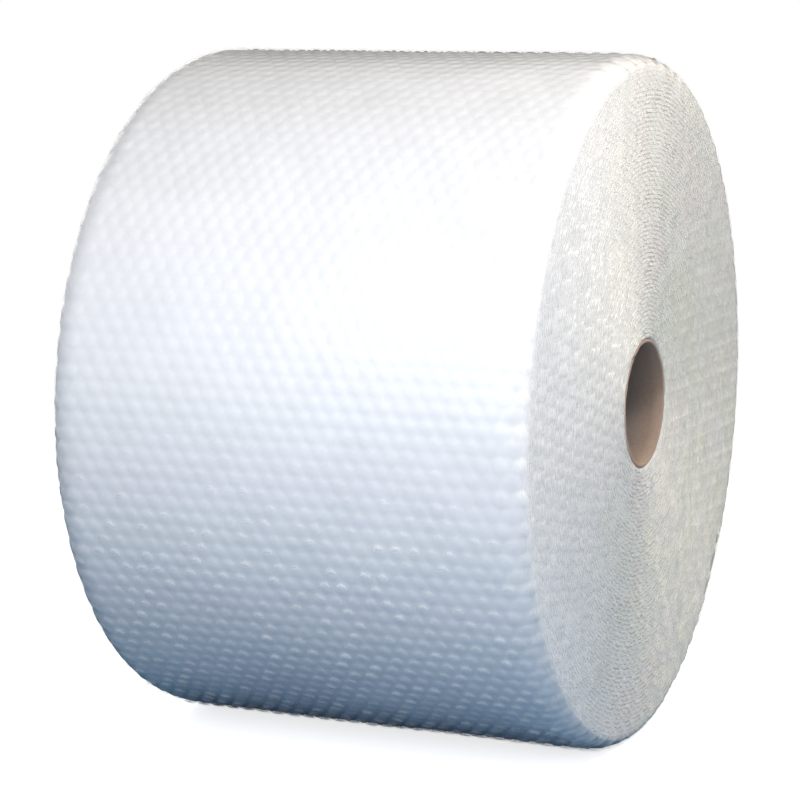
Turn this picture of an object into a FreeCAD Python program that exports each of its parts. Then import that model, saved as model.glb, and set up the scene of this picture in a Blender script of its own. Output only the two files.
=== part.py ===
import FreeCAD, Part

import math
import os
import sys

import Sketcher

# A roll of bubble film, wound on a board tube, that lies on its side. X runs along the roll, the
# floor is z = 0 and the origin is the middle of the small flat spot on which the roll rests.
# Angles round the roll are in degrees from +Y, the back, towards +Z, the top.

doc = FreeCAD.newDocument("bubble_film_roll")
sheet = doc.addObject("Spreadsheet::Sheet", "Sizes")
driving_sizes = {
    "RollDiameter": 440.0,
    "WebWidth": 305.0,
    "FilmLayer": 2.8,
    "CoreBore": 76.2,
    "CoreWall": 2.6,
    "CoreRecess": 0.8,
    "CoreGap": 0.2,
    "ShoulderWidth": 16.0,
    "ShoulderDrop": 8.0,
    "BreakWidth": 5.0,
    "BreakDrop": 3.4,
    "RowCount": 144,
    "RowRise": 1.6,
    "TurnCount": 7,
    "StepDepth": 2.6,
    "StepShare": 0.14,
    "RimLand": 6.0,
    "FlatWidth": 76.0,
    "TailAngle": -30.0,
    "TailFade": 45.0,
}
for row, (alias, value) in enumerate(driving_sizes.items(), start=1):
    sheet.set(f"A{row}", alias)
    sheet.set(f"B{row}", str(value))
    sheet.setAlias(f"B{row}", alias)
doc.recompute()

ROLL_RADIUS = "Sizes.RollDiameter / 2"
HALF_WIDTH = "Sizes.WebWidth / 2"
WEB_BORE_RADIUS = "Sizes.CoreBore / 2 + Sizes.CoreWall + Sizes.CoreGap"
AXIS_HEIGHT = f"sqrt(({ROLL_RADIUS}) ^ 2 - (Sizes.FlatWidth / 2) ^ 2)"
RIM_RADIUS = f"{ROLL_RADIUS} - Sizes.ShoulderDrop - Sizes.RimLand"
TURN_PITCH = f"({RIM_RADIUS} - ({WEB_BORE_RADIUS})) / Sizes.TurnCount"


def number(rule):
    """The value of a formula of the sheet."""
    return float(sheet.evalExpression(rule))


def section(name, corners, shift="0"):
    """A closed sketch in the plane y = 0. Each corner is its place along the roll and its radius,
    both formulas of the sheet. The radii are measured from the roll's axis, raised by the shift."""
    sketch = doc.addObject("Sketcher::SketchObject", name)
    sketch.Placement.Rotation = FreeCAD.Rotation(FreeCAD.Vector(1, 0, 0), 90)
    sketch.setExpression("Placement.Base.z", f"{AXIS_HEIGHT} + {shift}")
    places = [FreeCAD.Vector(number(along), number(radius), 0) for along, radius in corners]
    for start, end in zip(places, places[1:] + places[:1]):
        sketch.addGeometry(Part.LineSegment(start, end))
    for index, (along, radius) in enumerate(corners):
        previous = (index - 1) % len(corners)
        sketch.addConstraint(Sketcher.Constraint("Coincident", previous, 2, index, 1))
        for kind, rule in (("DistanceX", along), ("DistanceY", radius)):
            size = sketch.addConstraint(Sketcher.Constraint(kind, -1, 1, index, 1, number(rule)))
            sketch.setExpression(f"Constraints[{size}]", rule)
    return sketch


def turned(name, sketch, direction, angle, shift="0"):
    """A section turned about a line along the roll."""
    solid = doc.addObject("Part::Revolution", name)
    solid.Source = sketch
    solid.Axis = FreeCAD.Vector(direction, 0, 0)
    solid.setExpression("Base.z", f"{AXIS_HEIGHT} + {shift}")
    solid.Angle = angle
    solid.Solid = True
    return solid


# The core is a straight board tube, cut square at both ends and a hair shorter than the web.
core_end = f"{HALF_WIDTH} - Sizes.CoreRecess"
core_section = section("core_section", [
    (f"-({core_end})", "Sizes.CoreBore / 2"),
    (core_end, "Sizes.CoreBore / 2"),
    (core_end, "Sizes.CoreBore / 2 + Sizes.CoreWall"),
    (f"-({core_end})", "Sizes.CoreBore / 2 + Sizes.CoreWall"),
])
core = turned("core_tube", core_section, 1, 360)
core.Label = "cardboard_core"


def half_windings(name, direction, shift, count):
    """Half a turn of each winding, as a block on whose ends every winding starts with a step down
    and slopes up to the next. It turns about a line that lies above the roll's axis by the shift,
    a count of windings."""
    steps = []
    for winding in range(count):
        steps += [(f"{winding}", "0"), (f"{winding} + Sizes.StepShare", "Sizes.StepDepth")]
    steps += [(f"{count}", "0"), ("2 * Sizes.TurnCount", "0")]
    ends = [
        (f"{HALF_WIDTH} - {depth}", f"{WEB_BORE_RADIUS} + ({shift} + {turn}) * ({TURN_PITCH})")
        for turn, depth in steps
    ]
    ends.insert(0, (HALF_WIDTH, "0"))
    mirrored = [(f"-({along})", radius) for along, radius in reversed(ends)]
    lift = f"{shift} * ({TURN_PITCH})"
    return turned(name, section(name + "_section", ends + mirrored, lift), direction, 180, lift)


# The windings show on both ends as one spiral. Its halves at the back and at the front turn about
# lines half a pitch apart, so that each edge that meets the upright plane between them goes on
# half a pitch further out.
turn_count = int(sheet.TurnCount)
windings = doc.addObject("Part::MultiFuse", "windings")
windings.Shapes = [
    half_windings("back_windings", -1, 0, turn_count),
    half_windings("front_windings", 1, 0.5, turn_count - 1),
]
web_bore = doc.addObject("Part::Cylinder", "web_bore")
web_bore.Placement.Rotation = FreeCAD.Rotation(FreeCAD.Vector(0, 1, 0), 90)
web_bore.setExpression("Placement.Base.x", f"-({HALF_WIDTH}) - Sizes.StepDepth")
web_bore.setExpression("Placement.Base.z", AXIS_HEIGHT)
web_bore.setExpression("Height", "Sizes.WebWidth + 2 * Sizes.StepDepth")
web_bore.setExpression("Radius", WEB_BORE_RADIUS)
bored_windings = doc.addObject("Part::Cut", "bored_windings")
bored_windings.Base = windings
bored_windings.Tool = web_bore

# The rows of bubbles run along the roll, side by side all round it. The outer layer ends at the
# back, below the middle: past its last row the surface drops by one layer and rises again.
row_pitch = 360.0 / sheet.RowCount
outer_radius = sheet.RollDiameter / 2
half_flat = sheet.FlatWidth / 2
axis_height = number(AXIS_HEIGHT)
outline = []
for row in range(int(sheet.RowCount)):
    middle = 90.0 - row * row_pitch
    past_tail = sheet.TailAngle - middle
    sunk = sheet.FilmLayer * (1 - past_tail / sheet.TailFade) if 0 < past_tail < sheet.TailFade else 0
    for to_valley, drop in ((row_pitch / 2, sheet.RowRise), (0, 0)):
        angle = math.radians(middle + to_valley)
        radius = outer_radius - sunk - drop
        corner = FreeCAD.Vector(0, radius * math.cos(angle), radius * math.sin(angle))
        if corner.z > 0 or abs(corner.y) > half_flat:
            outline.append(corner)
        elif outline[-1].y > 0 and abs(outline[-1].y) > half_flat:
            outline += [FreeCAD.Vector(0, side * half_flat, -axis_height) for side in (1, -1)]

# At each end the rows run over a shoulder in two slopes, where the outer layers are pressed in.
# The last slope runs on past the end, so that the end faces below trim it.
half_width = sheet.WebWidth / 2
last_slope = (sheet.ShoulderDrop - sheet.BreakDrop) / sheet.BreakWidth
stations = [
    (half_width + sheet.StepDepth, sheet.ShoulderDrop + sheet.StepDepth * last_slope),
    (half_width - sheet.BreakWidth, sheet.BreakDrop),
    (half_width - sheet.ShoulderWidth, 0.0),
]
stations = [(-along, drop) for along, drop in stations] + stations[::-1]
rings = []
for along, drop in stations:
    share = 1 - drop / outer_radius
    middle = FreeCAD.Vector(along, 0, axis_height)
    rings.append([middle + corner * share for corner in outline])
faces = [Part.Face(Part.makePolygon(ring + ring[:1])) for ring in (rings[0], rings[-1])]
for ring, following in zip(rings, rings[1:]):
    for side in range(len(outline)):
        corners = [ring[side - 1], ring[side], following[side], following[side - 1], ring[side - 1]]
        faces.append(Part.Face(Part.makePolygon(corners)))
rows = doc.addObject("Part::Feature", "rows")
rows.Shape = Part.makeSolid(Part.makeShell(faces))

web = doc.addObject("Part::Common", "web")
web.Base = rows
web.Tool = bored_windings
web.Label = "bubble_wrap"

doc.recompute()
failed = [part.Name for part in doc.Objects if "Invalid" in part.State or "Error" in part.State]
if failed:
    sys.exit("failed objects: " + ", ".join(failed))
os.makedirs("parts", exist_ok=True)
for piece in (core, web):
    if piece.Shape.isNull() or not piece.Shape.isValid() or len(piece.Shape.Solids) != 1:
        sys.exit(f"{piece.Label} is not one valid solid")
    piece.Shape.exportStep(f"parts/{piece.Label}.step")
    print(piece.Label, round(piece.Shape.Volume), "mm3", piece.Shape.BoundBox)
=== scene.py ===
import math
import random

import bmesh
import bpy
from mathutils import Matrix, Vector, noise


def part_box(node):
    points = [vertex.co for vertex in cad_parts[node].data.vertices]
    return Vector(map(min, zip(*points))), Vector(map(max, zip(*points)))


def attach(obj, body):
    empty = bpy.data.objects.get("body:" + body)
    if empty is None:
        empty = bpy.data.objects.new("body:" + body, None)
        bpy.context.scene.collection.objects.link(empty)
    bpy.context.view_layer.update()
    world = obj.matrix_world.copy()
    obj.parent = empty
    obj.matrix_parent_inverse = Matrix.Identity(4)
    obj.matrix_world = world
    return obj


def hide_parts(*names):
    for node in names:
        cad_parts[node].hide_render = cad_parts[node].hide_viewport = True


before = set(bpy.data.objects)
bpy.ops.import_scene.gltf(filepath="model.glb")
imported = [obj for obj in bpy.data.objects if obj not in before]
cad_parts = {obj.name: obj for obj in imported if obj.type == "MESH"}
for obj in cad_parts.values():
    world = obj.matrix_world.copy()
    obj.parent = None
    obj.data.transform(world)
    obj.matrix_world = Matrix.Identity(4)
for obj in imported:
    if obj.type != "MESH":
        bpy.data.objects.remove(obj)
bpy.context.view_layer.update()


# The core is a tube of board, wound from glued strips in a spiral and cut square. Its grey-brown is
# painted darker than the board, as the shade inside the bore. The film is wound straight on to it. Its
# rims are a little crushed and its bore is not quite round.
core_low, core_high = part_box("cardboard_core")
axis_height = (core_low.z + core_high.z) / 2
core_radius = (core_high.z - core_low.z) / 2
bore_radius = 0.0381
core_end = core_high.x
rim_chamfer = 0.0007
crushed_length = 0.004
rim_crush = 0.0006
strip_pitch = 0.092
seam_share = 0.012
sides_of_tube = 96
# Painted shade: both tones are darker than the board itself, as the shade inside the bore.
board_dark_painted_shade, board_pale_painted_shade = (0.17, 0.158, 0.155), (0.27, 0.245, 0.235)
# Painted light: near the ends the board is brightened to tan, as light falling into the bore.
painted_light_near_rim = (1.85, 1.5, 1.22, 1)
painted_light_length = 0.03


def finish_named(name):
    """A new material: itself, its node tree and its shader."""
    finish = bpy.data.materials.new(name)
    finish.use_nodes = True
    return finish, finish.node_tree, finish.node_tree.nodes["Principled BSDF"]


def add_node(tree, kind, settings=(), **given):
    """A node with its settings. Each input is given a plain value, or an output of another node. An
    input that shares its name with others goes by its number, as in i1."""
    node = tree.nodes.new("ShaderNode" + kind)
    for setting, choice in dict(settings).items():
        setattr(node, setting, choice)
    for name, value in given.items():
        numbered = name[0] == "i" and name[1:].isdigit()
        socket = node.inputs[int(name[1:]) if numbered else name]
        if isinstance(value, bpy.types.NodeSocket):
            tree.links.new(value, socket)
        else:
            socket.default_value = value
    return node


def worked(tree, operation, *given, clamped=False):
    """The result of a sum on plain values and outputs of other nodes."""
    inputs = {f"i{number}": value for number, value in enumerate(given)}
    node = add_node(tree, "Math", {"operation": operation, "use_clamp": clamped}, **inputs)
    return node.outputs["Value"]


def ranged(tree, value, low, high, to_low=0.0, to_high=1.0, kind="LINEAR"):
    """A value brought from one range to another, and held at that one's ends."""
    node = add_node(tree, "MapRange", {"interpolation_type": kind}, Value=value,
                    i1=low, i2=high, i3=to_low, i4=to_high)
    return node.outputs["Result"]


def ramp(tree, value, *stops):
    """Colours along a value. Each stop is its place and its red, green and blue."""
    node = add_node(tree, "ValToRGB", Fac=value)
    elements = node.color_ramp.elements
    for element, (place, colour) in ((elements[0], stops[0]), (elements[1], stops[-1])):
        element.position = place
        element.color = (*colour, 1)
    for place, colour in stops[1:-1]:
        elements.new(place).color = (*colour, 1)
    return node.outputs["Color"]


def multiplied(tree, colour, by, share=1.0):
    """A colour multiplied by another one, in full or by a share."""
    kind = {"data_type": "RGBA", "blend_type": "MULTIPLY"}
    return add_node(tree, "Mix", kind, i0=share, i6=colour, i7=by).outputs[2]


def piece_of(mesh_work, name, finish):
    """A smooth-shaded object of the finished mesh, with its material."""
    mesh = bpy.data.meshes.new(name)
    mesh_work.to_mesh(mesh)
    mesh_work.free()
    mesh.materials.append(finish)
    mesh.polygons.foreach_set("use_smooth", [True] * len(mesh.polygons))
    piece = bpy.data.objects.new(name, mesh)
    bpy.context.scene.collection.objects.link(piece)
    return piece


tube = bmesh.new()
tube_section = [
    (-core_end + rim_chamfer, bore_radius), (core_end - rim_chamfer, bore_radius),
    (core_end, bore_radius + rim_chamfer), (core_end, core_radius - rim_chamfer),
    (core_end - rim_chamfer, core_radius), (-core_end + rim_chamfer, core_radius),
    (-core_end, core_radius - rim_chamfer), (-core_end, bore_radius + rim_chamfer),
]
corners = [tube.verts.new((along, 0, radius)) for along, radius in tube_section]
sides = [tube.edges.new((corners[index - 1], corners[index])) for index in range(len(corners))]
long_sides = [side for side in sides if side.calc_length() > core_end]
bmesh.ops.subdivide_edges(tube, edges=long_sides, cuts=40)
bmesh.ops.spin(tube, geom=tube.verts[:] + tube.edges[:], cent=(0, 0, 0), axis=(1, 0, 0),
               angle=math.tau, steps=sides_of_tube, use_merge=True)
for vert in tube.verts:
    crush = noise.noise(vert.co * 25) * 0.0002 + noise.noise(vert.co * 220) * 0.00012
    out = Vector((0, vert.co.y, vert.co.z)).normalized()
    rim = max(0.0, (abs(vert.co.x) - core_end + crushed_length) / crushed_length)
    vert.co -= out * abs(crush) * (1 if vert.co.yz.length > bore_radius + 0.001 else -1)
    vert.co.x -= math.copysign(rim * abs(noise.noise(vert.co * 90)) * rim_crush, vert.co.x)
bmesh.ops.recalc_face_normals(tube, faces=tube.faces)
bmesh.ops.translate(tube, verts=tube.verts, vec=(0, 0, axis_height))

# The board is mottled and fibrous, with a dark seam between its strips. Towards its ends it has painted
# light: brighter and tan, as where light falls into the mouth of the bore.
board, tree, shader = finish_named("board_painted_shade")
place = add_node(tree, "TexCoord").outputs["Object"]
centred = add_node(tree, "Mapping", Vector=place, Location=(0, 0, -axis_height)).outputs["Vector"]
fibres = add_node(tree, "TexNoise", Vector=centred, Scale=700, Detail=6, Roughness=0.7).outputs["Fac"]
blotches = add_node(tree, "TexNoise", Vector=centred, Scale=28, Detail=3).outputs["Fac"]
speckle = add_node(tree, "Mix", {"data_type": "FLOAT"}, Factor=0.45, A=fibres, B=blotches)
mottled = ramp(tree, speckle.outputs["Result"], (0.3, board_dark_painted_shade), (0.7, board_pale_painted_shade))
parts = add_node(tree, "SeparateXYZ", Vector=centred)
from_middle = worked(tree, "ABSOLUTE", parts.outputs["X"])
near_rim = ranged(tree, from_middle, core_end - painted_light_length, core_end - 0.002, kind="SMOOTHSTEP")
lit_near_rim = multiplied(tree, mottled, painted_light_near_rim, near_rim)
round_tube = worked(tree, "ARCTAN2", parts.outputs["Z"], parts.outputs["Y"])
turns_round = worked(tree, "DIVIDE", round_tube, math.tau)
along_tube = worked(tree, "MULTIPLY_ADD", parts.outputs["X"], 1 / strip_pitch, turns_round)
from_seam = worked(tree, "PINGPONG", along_tube, 0.5)
strip = ranged(tree, from_seam, 0.0, seam_share, kind="SMOOTHSTEP")
tree.links.new(multiplied(tree, lit_near_rim, ranged(tree, strip, 0, 1, 0.45, 1)), shader.inputs["Base Color"])
board_relief = worked(tree, "MULTIPLY_ADD", fibres, 0.3, strip)
board_bump = add_node(tree, "Bump", Strength=0.6, Distance=0.0004, Height=board_relief)
tree.links.new(board_bump.outputs["Normal"], shader.inputs["Normal"])
shader.inputs["Roughness"].default_value = 0.85

core = piece_of(tube, "core_tube", board)
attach(core, "root")
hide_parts("cardboard_core")


# The turns under the last one are clear film like it, but so many lie on each other that together
# they are a milky mass. It shows as the bubbles of one turn, and a closed ground behind the ends.
web_low, web_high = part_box("bubble_wrap")
roll_radius = (web_high.y - web_low.y) / 2
half_width = web_high.x
web_bore = core_radius + 0.0004
bubble_pitch = 0.011
bubble_height = 0.0018
film_layer = 0.0028
row_count = 144
row_angle = math.tau / row_count
row_pitch = row_angle * roll_radius
row_swell = 0.0004
tail_angle = math.radians(-31.25)
tail_fade = math.radians(45)
shoulder_width = 0.016
shoulder_drop = 0.008
shoulder_arc = 0.0186
shoulder_power = 1.62
straight_half = half_width - shoulder_width
pleat_depth = 0.0014
pleat_reach = 0.034
long_flank = 0.72
milky_width = shoulder_width - 0.0013
milky_drop = shoulder_drop - 0.0005
milky_arc = 0.0165
milky_half = straight_half + milky_arc
milky_rings = [(0.0049, 0.0), (0.0034, 0.00013)]
ground_depth = 0.0008
ground_rings = [0.208, 0.203, 0.196, 0.18, 0.15, 0.115, 0.08, 0.046, web_bore + 0.0005, web_bore]
unevenness = Vector((6.2, 15.4, 2.6))


def flat_web(sides_of_bubble, rings, pairs):
    """A flat web of bubbles in staggered rows, as made before it is wound. X is across the web, Y
    along it and Z up. The rings of a bubble are its radius and height from its foot to its crown."""
    web = bmesh.new()
    corner = bubble_pitch / math.sqrt(3)
    bmesh.ops.create_circle(web, cap_ends=True, radius=corner, segments=6)
    if sides_of_bubble == 12:
        bmesh.ops.subdivide_edges(web, edges=web.edges, cuts=1)
    for radius, height in rings:
        crown = web.faces[:] if len(web.faces) == 1 else [max(web.faces, key=lambda f: len(f.verts))]
        bmesh.ops.inset_individual(web, faces=crown, thickness=0.0003, depth=0)
        for vert in crown[0].verts:
            vert.co = Vector((vert.co.x, vert.co.y, 0)).normalized() * radius + Vector((0, 0, height))
    for vert in web.verts:
        vert.co.y *= row_pitch / (bubble_pitch * math.sqrt(3) / 2)
    cells = math.ceil((half_width + 0.004) / bubble_pitch)
    bmesh.ops.translate(web, verts=web.verts, vec=(-cells * bubble_pitch, row_pitch / 2, 0))
    row = {"dvec": (bubble_pitch, 0, 0), "steps": 2 * cells}
    second_row = {"dvec": (bubble_pitch / 2, row_pitch, 0), "steps": 1}
    more_pairs = {"dvec": (0, 2 * row_pitch, 0), "steps": pairs - 1}
    for repeat in (row, second_row, more_pairs):
        bmesh.ops.spin(web, geom=web.verts[:] + web.edges[:] + web.faces[:], cent=(0, 0, 0),
                       axis=(1, 0, 0), angle=0, use_duplicate=True, **repeat)
        if repeat is not row:
            bmesh.ops.remove_doubles(web, verts=web.verts, dist=0.0001)
    return web


def trimmed(web, half):
    """The web slit along both edges."""
    for side in (1, -1):
        bmesh.ops.bisect_plane(web, geom=web.verts[:] + web.edges[:] + web.faces[:], dist=0.00002,
                               plane_co=(side * half, 0, 0), plane_no=(side, 0, 0), clear_outer=True)
    return web


def wind(web, foot_radius, half, first_angle, shoulder, lowest):
    """Winds a flat web round the roll and over the shoulders, where its edges buckle in pleats. The
    shoulder is its width along the roll, its drop and the length of its arc."""
    width, deepest, arc = shoulder
    for vert in web.verts:
        across, height = vert.co.x, vert.co.z
        angle = first_angle + vert.co.y / roll_radius
        past_tail = tail_angle + math.tau - angle
        sunk = film_layer * (1 - past_tail / tail_fade) if past_tail < tail_fade else 0.0
        lean = min(1.0, max(0.0, abs(across) - straight_half) / arc) * math.pi / 2
        axial = min(abs(across), straight_half) + width * math.sin(lean) ** (2 / shoulder_power)
        drop = deepest * (1 - math.cos(lean) ** (2 / shoulder_power))
        spot = Vector((across, angle * roll_radius, 0)) + unevenness
        edge = max(0.0, 1 - (half - abs(across)) / pleat_reach)
        fold = (angle / (2 * row_angle) + 0.35 * noise.noise(spot * 14)) % 1
        shingle = (fold / long_flank if fold < long_flank else (1 - fold) / (1 - long_flank)) - 0.5
        ripple = pleat_depth * edge ** 1.4 * shingle * (0.7 + 0.8 * noise.noise(spot * 21))
        ripple += row_swell * (math.sin(math.pi * (angle - tail_angle) / row_angle) ** 2 - 0.5)
        swell = 0.0005 * noise.noise(spot * 16) + 0.0002 * noise.noise(spot * 45)
        puff = 0.9 + 0.5 * noise.noise(spot * 120)
        puff *= max(0.0, min(1.0, (half - abs(across)) / 0.002)) ** 0.5
        lift = height * puff + ripple + swell
        radius = foot_radius - sunk - drop + lift * math.cos(lean * 0.85)
        axial += lift * math.sin(lean * 0.85) * 0.6 + 0.0005 * noise.noise(spot * 60) * edge
        turned = angle + 0.0006 * noise.noise(spot * 75 + Vector((9, 9, 9))) / roll_radius
        y = radius * math.cos(turned)
        z = axis_height + radius * math.sin(turned)
        if z < lowest:
            z = lowest + 0.0002 * abs(noise.noise(spot * 90))
        vert.co = Vector((math.copysign(axial, across), y, z))


def end_of_turn(radius):
    """Where the turn of this radius ends along the roll: the inner ones in one plane, the outer
    ones further in, along the shoulder."""
    share = min(1.0, max(0.0, 1 - (roll_radius - bubble_height - radius) / shoulder_drop))
    return straight_half - 0.0004 + shoulder_width * (1 - share ** shoulder_power) ** (1 / shoulder_power)


# The web of bubbles is closed along its seam, and at both ends rings lead from it down to the bore.
mass = trimmed(flat_web(6, milky_rings, row_count // 2), milky_half)
milky_shoulder = (milky_width, milky_drop, milky_arc)
wind(mass, roll_radius - bubble_height - 0.0005, milky_half, tail_angle, milky_shoulder, 0.0012)
edges_left = [edge for edge in mass.edges if edge.is_boundary]
rim_reach = straight_half + milky_width - 0.0009
rim = {edge for edge in edges_left if min(abs(vert.co.x) for vert in edge.verts) > rim_reach}
bmesh.ops.bridge_loops(mass, edges=[edge for edge in edges_left if edge not in rim])
edges_left = [edge for edge in mass.edges if edge.is_boundary]
bore_edges = []
ground_points = []
for side in (1, -1):
    rim_edges = [edge for edge in edges_left if edge.verts[0].co.x * side > 0]
    for radius in ground_rings:
        grown = bmesh.ops.extrude_edge_only(mass, edges=rim_edges)["geom"]
        rim_edges = [part for part in grown if isinstance(part, bmesh.types.BMEdge)]
        for vert in (part for part in grown if isinstance(part, bmesh.types.BMVert)):
            out = Vector((0, vert.co.y, vert.co.z - axis_height)).normalized() * radius
            reach = end_of_turn(radius) - ground_depth + 0.0002 * noise.noise(out * 20)
            vert.co = Vector((side * reach, out.y, out.z + axis_height))
            ground_points.append(vert)
    bore_edges += rim_edges
bmesh.ops.bridge_loops(mass, edges=bore_edges)
bmesh.ops.remove_doubles(mass, verts=ground_points, dist=0.0005)
bmesh.ops.recalc_face_normals(mass, faces=mass.faces)


def film_grain():
    """A shared effect: the fine creases of film, where it is hazy or clear, its slow change of tint,
    and how far a place is an end of the roll, which counts for more towards the back."""
    group = bpy.data.node_groups.new("film_grain", "ShaderNodeTree")
    face = group.interface
    face.new_socket("Vector", in_out="INPUT", socket_type="NodeSocketVector")
    for name in ("Crease Scale", "Haze Scale"):
        face.new_socket(name, in_out="INPUT", socket_type="NodeSocketFloat")
    for name in ("Creases", "Haze", "Tint", "At End"):
        face.new_socket(name, in_out="OUTPUT", socket_type="NodeSocketFloat")
    taken = group.nodes.new("NodeGroupInput").outputs
    given = group.nodes.new("NodeGroupOutput").inputs
    creases = add_node(group, "TexNoise", {"noise_type": "RIDGED_MULTIFRACTAL"}, Detail=4, Roughness=0.6,
                       Vector=taken["Vector"], Scale=taken["Crease Scale"])
    haze = add_node(group, "TexNoise", Detail=5, Roughness=0.6, Vector=taken["Vector"],
                    Scale=taken["Haze Scale"])
    tint = add_node(group, "TexNoise", Detail=1, Scale=17, Vector=taken["Vector"])
    for name, texture in (("Creases", creases), ("Haze", haze), ("Tint", tint)):
        group.links.new(texture.outputs["Fac"], given[name])
    parts = add_node(group, "SeparateXYZ", Vector=taken["Vector"])
    from_middle = worked(group, "ABSOLUTE", parts.outputs["X"])
    at_end = ranged(group, from_middle, straight_half, half_width - 0.001, kind="SMOOTHSTEP")
    to_back = ranged(group, parts.outputs["Y"], -0.18, 0.03, kind="SMOOTHSTEP")
    group.links.new(worked(group, "MULTIPLY", at_end, to_back), given["At End"])
    return group


grain = film_grain()
yellowish, neutral, pinkish = (0.955, 0.95, 0.87), (0.965, 0.95, 0.90), (0.98, 0.935, 0.895)


def film_finish(name, light, dark, crease_scale, crease_depth, rough, haze_scale=40.0, veil=()):
    """A film's material, with the shared grain. With a veil the film is see-through but for its
    whiteness, which the haze weakens or strengthens from the first number to the second."""
    finish, tree, shader = finish_named(name)
    place = add_node(tree, "TexCoord").outputs["Object"]
    film = add_node(tree, "Group", {"node_tree": grain}, Vector=place,
                    **{"Crease Scale": crease_scale, "Haze Scale": haze_scale}).outputs
    colour = ramp(tree, film["Haze"], (0.32, dark), (0.68, light))
    tints = ramp(tree, film["Tint"], (0.3, yellowish), (0.5, neutral), (0.72, pinkish))
    tinted = multiplied(tree, colour, tints, film["At End"])
    # Painted shade: where the film is seen at a grazing angle, its colour is darkened to as little as
    # half, so its outline reads darker.
    grazing = add_node(tree, "LayerWeight", Blend=0.5).outputs["Facing"]
    painted_rim_shade = ranged(tree, grazing, 0.66, 1.0, 1.0, 0.5, kind="SMOOTHSTEP")
    tree.links.new(multiplied(tree, tinted, painted_rim_shade), shader.inputs["Base Color"])
    gloss = ranged(tree, film["Haze"], 0.0, 1.0, rough * 0.7, rough * 1.4)
    tree.links.new(gloss, shader.inputs["Roughness"])
    bump = add_node(tree, "Bump", Strength=0.5, Distance=crease_depth, Height=film["Creases"])
    tree.links.new(bump.outputs["Normal"], shader.inputs["Normal"])
    shader.inputs["Coat Weight"].default_value = 0.25
    shader.inputs["Coat Roughness"].default_value = 0.12
    if veil:
        whiteness = add_node(tree, "Attribute", {"attribute_name": "film_white"}).outputs["Fac"]
        hazed = ranged(tree, film["Haze"], 0.3, 0.7, *veil)
        tree.links.new(worked(tree, "MULTIPLY", whiteness, hazed, clamped=True), shader.inputs["Alpha"])
    return finish


milky_turns = film_finish("milky_turns", (0.91, 0.92, 0.935), (0.86, 0.87, 0.885), 240, 0.00012, 0.4)
inner_turns = piece_of(mass, "inner_turns", milky_turns)
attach(inner_turns, "root")
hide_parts("bubble_wrap")


# At both ends the turns show on edge, as one spiral of two films: a flat one and, bonded to it, one
# that is drawn into bubbles. The slitting knife left some bubbles cut open and some pressed shut.
turn_pitch = 0.0028
first_turn = core_radius + 0.0006
turn_count = round((roll_radius - 0.002 - first_turn) / turn_pitch)
steps_of_bubble = 6
bubble_run = 0.0096
flat_step = 0.0048
ribbon_depth = 0.0020
white_depth = 0.0016
covered_width = 0.02
lowest_winding = 0.0015


def spiral(step_length, per_run):
    """A spiral line of the end windings, one turn after another. Each of its points keeps how many
    turns and how many bubbles lie before it. Returns the line, its layers and its bubbles' count."""
    line = bmesh.new()
    names = ("film_white", "turns_before", "bubbles_before")
    layers = [line.verts.layers.float.new(name) for name in names]
    bubbles = 0
    for turn in range(turn_count):
        length = math.tau * (first_turn + (turn + 0.5) * turn_pitch)
        count = max(8, round(length / step_length / per_run))
        points = bmesh.ops.create_circle(line, segments=count * per_run + 1, radius=0.1)["verts"]
        closing = [edge for edge in points[0].link_edges if points[-1] in edge.verts]
        bmesh.ops.delete(line, geom=closing, context="EDGES")
        for index, point in enumerate(points):
            point[layers[1]] = turn + index / (count * per_run)
            point[layers[2]] = bubbles + index / per_run
        bubbles += count
    return line, layers, bubbles


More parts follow.
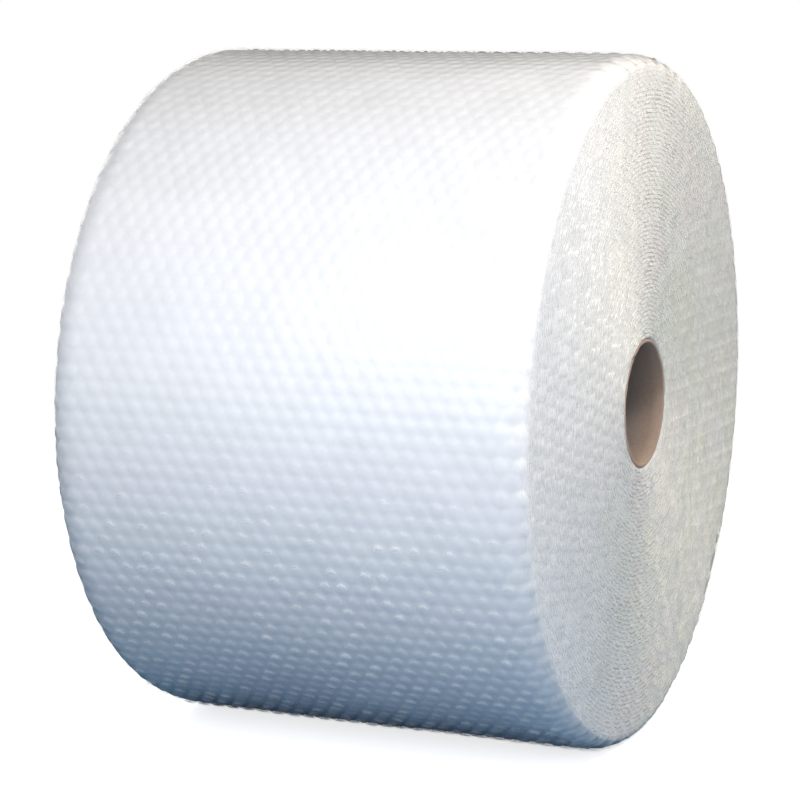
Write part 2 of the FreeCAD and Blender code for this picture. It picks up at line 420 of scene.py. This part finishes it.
def end_windings(side, name, finish, seed):
    """The spiral of film edges on one end, which stand out of the milky ground."""
    chance = random.Random(seed)
    shift = Vector((seed * 1.7, seed * 0.9, seed * 2.3))
    drawn_film, drawn_layers, bubbles = spiral(bubble_run / steps_of_bubble, steps_of_bubble)
    fullness = [0.45 + 0.55 * chance.random() for _ in range(bubbles + 1)]
    pressed = [0.5 + 0.5 * math.sin(number * math.pi + 5 * noise.noise(Vector((number * 0.02, 0, seed))))
               for number in range(bubbles + 1)]
    slip = [0.0002 * noise.noise(Vector((turn * 0.35, 2, seed))) + chance.uniform(-0.0001, 0.0001)
            for turn in range(turn_count + 2)]

    def set_points(verts, layers, depth, shares):
        """Puts the points of one depth in their places. The shares are how much of its height a
        bubble has there, where it is cut open and where it is pressed shut. Flat film has none."""
        film_white, turns_before, bubbles_before = layers
        for vert in verts:
            turns, number = vert[turns_before], vert[bubbles_before]
            angle = math.tau * turns
            radius = first_turn + turn_pitch * turns
            spot = Vector((0, radius * math.cos(angle), radius * math.sin(angle))) + shift
            rise = 0.0
            if shares:
                whole = int(number + 0.0001)
                arch = math.sin(math.pi * min(1.0, max(0.0, number - whole))) ** 0.6
                share = shares[0] + (shares[1] - shares[0]) * pressed[whole]
                rise = turn_pitch * (0.95 * arch * fullness[whole] * share + 0.03)
                rise *= 0.3 if radius > roll_radius - bubble_height - shoulder_drop else 1.0
            wander = 0.0005 * noise.noise(spot * 70)
            low, blend = int(turns), turns - int(turns)
            out = slip[low] * (1 - blend) + slip[low + 1] * blend
            out += 0.0002 * noise.noise(spot * 14) + 0.0006 * noise.noise(spot * 95)
            reach = end_of_turn(radius) + out - depth
            covered = (roll_radius - bubble_height - 0.002 - radius) / covered_width
            inside = min(1.0, max(0.0, covered)) ** 0.8
            vert[film_white] = (0.06 + 0.7 * max(0.0, 1 - depth / white_depth) ** 1.5) * inside
            radius += rise + wander
            height = axis_height + radius * math.sin(angle)
            vert.co = Vector((side * reach, radius * math.cos(angle), max(height, lowest_winding)))

    def deeper(film, edges, layers, depth, shares):
        """Draws the film further in from these edges, and returns its new edges."""
        grown = bmesh.ops.extrude_edge_only(film, edges=edges)["geom"]
        new_points = [part for part in grown if isinstance(part, bmesh.types.BMVert)]
        set_points(new_points, layers, depth, shares)
        return [part for part in grown if isinstance(part, bmesh.types.BMEdge)]

    set_points(drawn_film.verts, drawn_layers, 0.0, (1.0, 0.1))
    below_cut = deeper(drawn_film, drawn_film.edges[:], drawn_layers, 0.0007, (1.0, 0.8))
    deeper(drawn_film, below_cut, drawn_layers, ribbon_depth, (1.0, 1.0))
    flat_film, flat_layers, _ = spiral(flat_step, 4)
    set_points(flat_film.verts, flat_layers, 0.0002, ())
    deeper(flat_film, flat_film.edges[:], flat_layers, ribbon_depth, ())
    flat_mesh = bpy.data.meshes.new(name + "_flat")
    flat_film.to_mesh(flat_mesh)
    flat_film.free()
    drawn_film.from_mesh(flat_mesh)
    bpy.data.meshes.remove(flat_mesh)
    bmesh.ops.remove_doubles(drawn_film, verts=drawn_film.verts, dist=0.00001)
    bmesh.ops.recalc_face_normals(drawn_film, faces=drawn_film.faces)
    windings = piece_of(drawn_film, name, finish)
    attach(windings, "root")
    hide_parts("bubble_wrap")


# The ribbons are whitest at the cut, and clear further in. They fade out under the last turn.
film_edges = film_finish("film_edges", (0.97, 0.97, 0.97), (0.88, 0.88, 0.88), 200, 0.0001, 0.3,
                         haze_scale=75.0, veil=(0.45, 1.2))
end_windings(1, "right_end_windings", film_edges, 11)
end_windings(-1, "left_end_windings", film_edges, 23)


# The last turn is one clear web round the roll. Over the shoulders it is drawn in and buckles every
# second row, and it ends in a straight cut at the back, where it clings to the turn beneath.
last_shoulder = (shoulder_width, shoulder_drop, shoulder_arc)
last_half = straight_half + shoulder_arc * 0.72
last_rings = [(0.0050, 0.0), (0.0041, 0.0009), (0.0025, 0.0014)]
flat_haze, bubble_haze, painted_glint_haze = 0.05, 0.10, 0.5
fade_at_edge = 0.012
clear_film = film_finish("clear_film", (0.97, 0.975, 0.985), (0.92, 0.93, 0.94), 330, 0.0002, 0.22,
                         veil=(0.8, 1.25))


def last_turn(name, first_pair, pairs):
    """A length of the last turn, from one pair of rows on. Its bubbles are hazier than the film
    between them, more so on the lower half of the roll, where some carry a painted highlight: a whiter
    fleck behind the crown, as the glint of light from above."""
    web = trimmed(flat_web(12, last_rings, pairs), last_half)
    film_white = web.verts.layers.float.new("film_white")
    first_angle = tail_angle + first_pair * 2 * row_angle
    for vert in web.verts:
        haze = flat_haze
        if vert.co.z > 0.0002:
            spotty = 1 + 0.9 * noise.noise(vert.co * 110 + Vector((0, 0, first_pair)))
            row = math.floor(vert.co.y / row_pitch + 0.001)
            column = math.floor(vert.co.x / bubble_pitch + (0.0 if row % 2 else 0.5))
            # Painted highlight: on the lower half of the roll, a whiter fleck behind the crown of some
            # bubbles stands in for the glint of light from above.
            glint_chance = noise.cell(Vector((column + 0.5, row + 0.5, first_pair + 0.5)))
            behind_crown = max(0.0, row + 0.5 - vert.co.y / row_pitch) / 0.43
            lower_half = min(1.0, max(0.0, 0.2 - 2 * math.sin(first_angle + vert.co.y / roll_radius)))
            haze = bubble_haze * spotty * (0.4 + 0.6 * lower_half)
            haze += painted_glint_haze * glint_chance ** 2 * behind_crown * lower_half
        vert[film_white] = haze * min(1.0, (last_half - abs(vert.co.x)) / fade_at_edge)
    wind(web, roll_radius - bubble_height, last_half, first_angle, last_shoulder, 0.0003)
    # Winding mirrors the flat web, so its faces are turned to point outwards again.
    bmesh.ops.reverse_faces(web, faces=web.faces)
    piece = piece_of(web, name, clear_film)
    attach(piece, "root")
    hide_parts("bubble_wrap")


half_of_pairs = row_count // 4
last_turn("last_turn_top", 0, half_of_pairs)
last_turn("last_turn_front", half_of_pairs, half_of_pairs)


# The room is a pale floor and a white ground behind it. The floor keeps the roll's shadow, and to
# the roll itself it is a cool grey, as a table in the shade is.
floor_size = 15
shade_of_floor = (0.115, 0.23, 0.37, 1)
pale = (0.85, 0.85, 0.85, 1)
floor_glow = 0.76
dim_room = (0.34, 0.33, 0.31, 1)
white = (1, 1, 1, 1)


def seen_directly(tree):
    """1 on what the camera sees, also through the clear film, and 0 on what only lights the roll."""
    path = add_node(tree, "LightPath").outputs
    return worked(tree, "MAXIMUM", path["Is Camera Ray"], path["Is Transmission Ray"])


floor_work = bmesh.new()
bmesh.ops.create_grid(floor_work, x_segments=4, y_segments=4, size=floor_size)
pale_floor, tree, shader = finish_named("pale_floor")
seen = seen_directly(tree)
floor_colour = add_node(tree, "Mix", {"data_type": "RGBA"}, i0=seen, i6=shade_of_floor, i7=pale)
tree.links.new(floor_colour.outputs[2], shader.inputs["Base Color"])
shader.inputs["Roughness"].default_value = 0.9
shader.inputs["Specular IOR Level"].default_value = 0.0
shader.inputs["Emission Color"].default_value = white
tree.links.new(worked(tree, "MULTIPLY", seen, floor_glow), shader.inputs["Emission Strength"])
floor = piece_of(floor_work, "floor", pale_floor)

world = bpy.data.worlds.new("white_room")
bpy.context.scene.world = world
world.use_nodes = True
tree = world.node_tree
sky = add_node(tree, "Mix", {"data_type": "RGBA"}, i0=seen_directly(tree), i6=dim_room, i7=white)
tree.links.new(sky.outputs[2], tree.nodes["Background"].inputs["Color"])


def aimed(azimuth, elevation):
    """A turn that looks at the roll from this side. Azimuth 0 is the front and 90 the right end."""
    return (Matrix.Rotation(math.radians(azimuth), 4, "Z")
            @ Matrix.Rotation(math.radians(90 - elevation), 4, "X"))


def lamp(name, azimuth, elevation, distance, strength, colour, width):
    """A soft square lamp that points at the middle of the roll."""
    light = bpy.data.lights.new(name, "AREA")
    light.energy = strength
    light.color = colour
    light.size = width
    holder = bpy.data.objects.new(name, light)
    middle = Matrix.Translation((0, 0, axis_height))
    holder.matrix_world = middle @ aimed(azimuth, elevation) @ Matrix.Translation((0, 0, distance))
    holder.visible_camera = False
    bpy.context.scene.collection.objects.link(holder)


lamp("front_light", 6, 22.5, 0.65, 2.3, (0.925, 0.94, 1.0), 0.55)
lamp("side_light", 54, 9, 1.1, 2.1, (1.0, 0.965, 0.94), 0.5)
lamp("end_light", 92, 42, 0.85, 3.7, (1.0, 0.935, 0.87), 0.2)
lamp("back_light", -122, 12, 0.9, 3.0, (1.0, 0.97, 0.94), 0.6)


# The camera stands in front of the roll, a little above its middle and to the right. It looks a
# little to the left of the roll's middle and below it, which sets the roll in the picture.
image_side = 800
focal_pixels = 2582.9
view_azimuth, view_elevation, view_roll = 23.209, 7.836, 0.413
stand_off = 1.684
aim_left, aim_down = 0.01494, 0.00719
lens = bpy.data.cameras.new("camera")
lens.sensor_width = 36
lens.lens = focal_pixels * lens.sensor_width / image_side
lens.clip_start, lens.clip_end = 0.05, 60
camera = bpy.data.objects.new("camera", lens)
sideways = aimed(view_azimuth, 0).to_3x3() @ Vector((-aim_left, 0, 0))
aim = Matrix.Translation(sideways + Vector((0, 0, axis_height - aim_down)))
view_turn = aimed(view_azimuth, view_elevation) @ Matrix.Rotation(math.radians(view_roll), 4, "Z")
camera.matrix_world = aim @ view_turn @ Matrix.Translation((0, 0, stand_off))
bpy.context.scene.collection.objects.link(camera)
bpy.context.scene.camera = camera
bpy.context.scene.view_settings.view_transform = "Standard"
